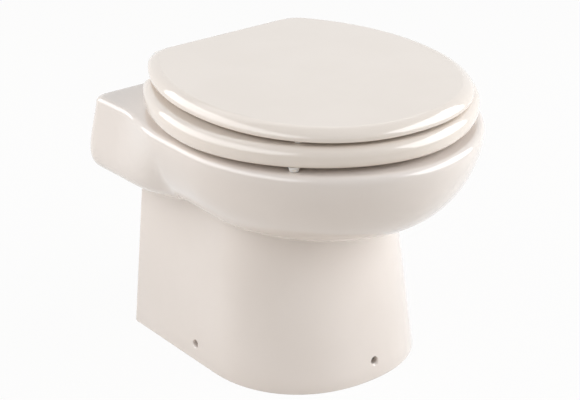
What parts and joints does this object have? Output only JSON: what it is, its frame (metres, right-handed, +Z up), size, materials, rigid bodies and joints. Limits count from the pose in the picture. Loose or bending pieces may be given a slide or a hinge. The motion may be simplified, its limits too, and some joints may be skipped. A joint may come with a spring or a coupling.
{
  "type": "electric marine toilet",
  "caption": "Compact china toilet for a boat, with seat and lid over a round bowl and an electric macerator pump inside its open-backed pedestal.",
  "frame": {"origin": "on the floor, under the middle of the overall box", "axes": "+Z up, the front of the bowl towards -Y, +X to the right as seen from the front"},
  "size_m": [0.3708, 0.4155, 0.3508],
  "materials": {
    "china": "glossy warm white glaze",
    "seat_plastic": "polished warm white thermoset",
    "clear_rubber": "milky soft rubber",
    "white_plastic": "moulded white nylon",
    "black_rubber": "matt moulded rubber",
    "grey_plastic": "moulded dark grey plastic",
    "steel": "plain stainless steel",
    "brass": "cast bronze",
    "motor_paint": "satin black paint",
    "copper": "varnished copper windings",
    "lead_jacket": "black cable jacket"
  },
  "bodies": {
    "pan": {"china_pan": "china", "hinge_post_left": "white_plastic", "hinge_post_right": "white_plastic", "hinge_nut_left": "white_plastic", "hinge_nut_right": "white_plastic", "solenoid_body": "white_plastic", "rinse_elbow": "white_plastic", "terminal_block": "white_plastic", "post_gasket_left": "black_rubber", "post_gasket_right": "black_rubber", "hinge_washer_left": "black_rubber", "hinge_washer_right": "black_rubber", "outlet_sleeve": "black_rubber", "housing_gasket": "black_rubber", "shaft_seal": "black_rubber", "motor_mount_left": "black_rubber", "motor_mount_right": "black_rubber", "discharge_elbow": "black_rubber", "base_tray": "grey_plastic", "pump_housing": "grey_plastic", "motor_flange": "grey_plastic", "motor_saddle": "grey_plastic", "check_valve_body": "grey_plastic", "discharge_spigot": "grey_plastic", "rinse_hose": "grey_plastic", "hinge_pin_left": "steel", "hinge_pin_right": "steel", "choke_plate": "steel", "flange_screw_1": "steel", "flange_screw_2": "steel", "flange_screw_3": "steel", "flange_screw_4": "steel", "bearing_front": "steel", "bearing_rear": "steel", "flap_pin": "steel", "plunger_spring": "steel", "hose_clip_lower": "steel", "hose_clip_upper": "steel", "motor_can": "motor_paint", "motor_end_cap": "motor_paint", "magnet_ring": "motor_paint", "solenoid_coil": "motor_paint", "motor_lead": "lead_jacket", "valve_lead": "lead_jacket"},
    "seat": {"seat_ring": "seat_plastic", "seat_bumper_front_left": "clear_rubber", "seat_bumper_front_right": "clear_rubber", "seat_bumper_rear_left": "clear_rubber", "seat_bumper_rear_right": "clear_rubber"},
    "lid": {"lid": "seat_plastic", "lid_bumper_left": "clear_rubber", "lid_bumper_right": "clear_rubber"},
    "rotor": {"pump_shaft": "steel", "impeller": "brass", "macerator_blade": "steel", "blade_nut": "steel", "armature": "copper"},
    "flap": {"check_flap": "black_rubber"},
    "plunger": {"valve_plunger": "steel"}
  },
  "joints": [
    {"name": "seat_hinge", "type": "hinge", "parent": "pan", "child": "seat", "pos_m": [0, 0.1805, 0.3337], "axis": [-1, 0, 0], "range_deg": [0, 95]},
    {"name": "lid_hinge", "type": "hinge", "parent": "seat", "child": "lid", "pos_m": [0, 0.1805, 0.3337], "axis": [-1, 0, 0], "range_deg": [0, 100]},
    {"name": "pump_rotor", "type": "hinge", "parent": "pan", "child": "rotor", "pos_m": [0, 0, 0.06], "axis": [0, 1, 0], "continuous": true},
    {"name": "check_flap_hinge", "type": "hinge", "parent": "pan", "child": "flap", "pos_m": [-0.084, 0.0922, 0.0758], "axis": [1, 0, 0], "range_deg": [0, 55]},
    {"name": "valve_plunger_slide", "type": "slide", "parent": "pan", "child": "plunger", "axis": [1, 0, 0], "range_m": [0, 0.003], "stiffness_N_per_m": 200, "springref_m": -0.004, "deforming": ["plunger_spring"]}
  ]
}
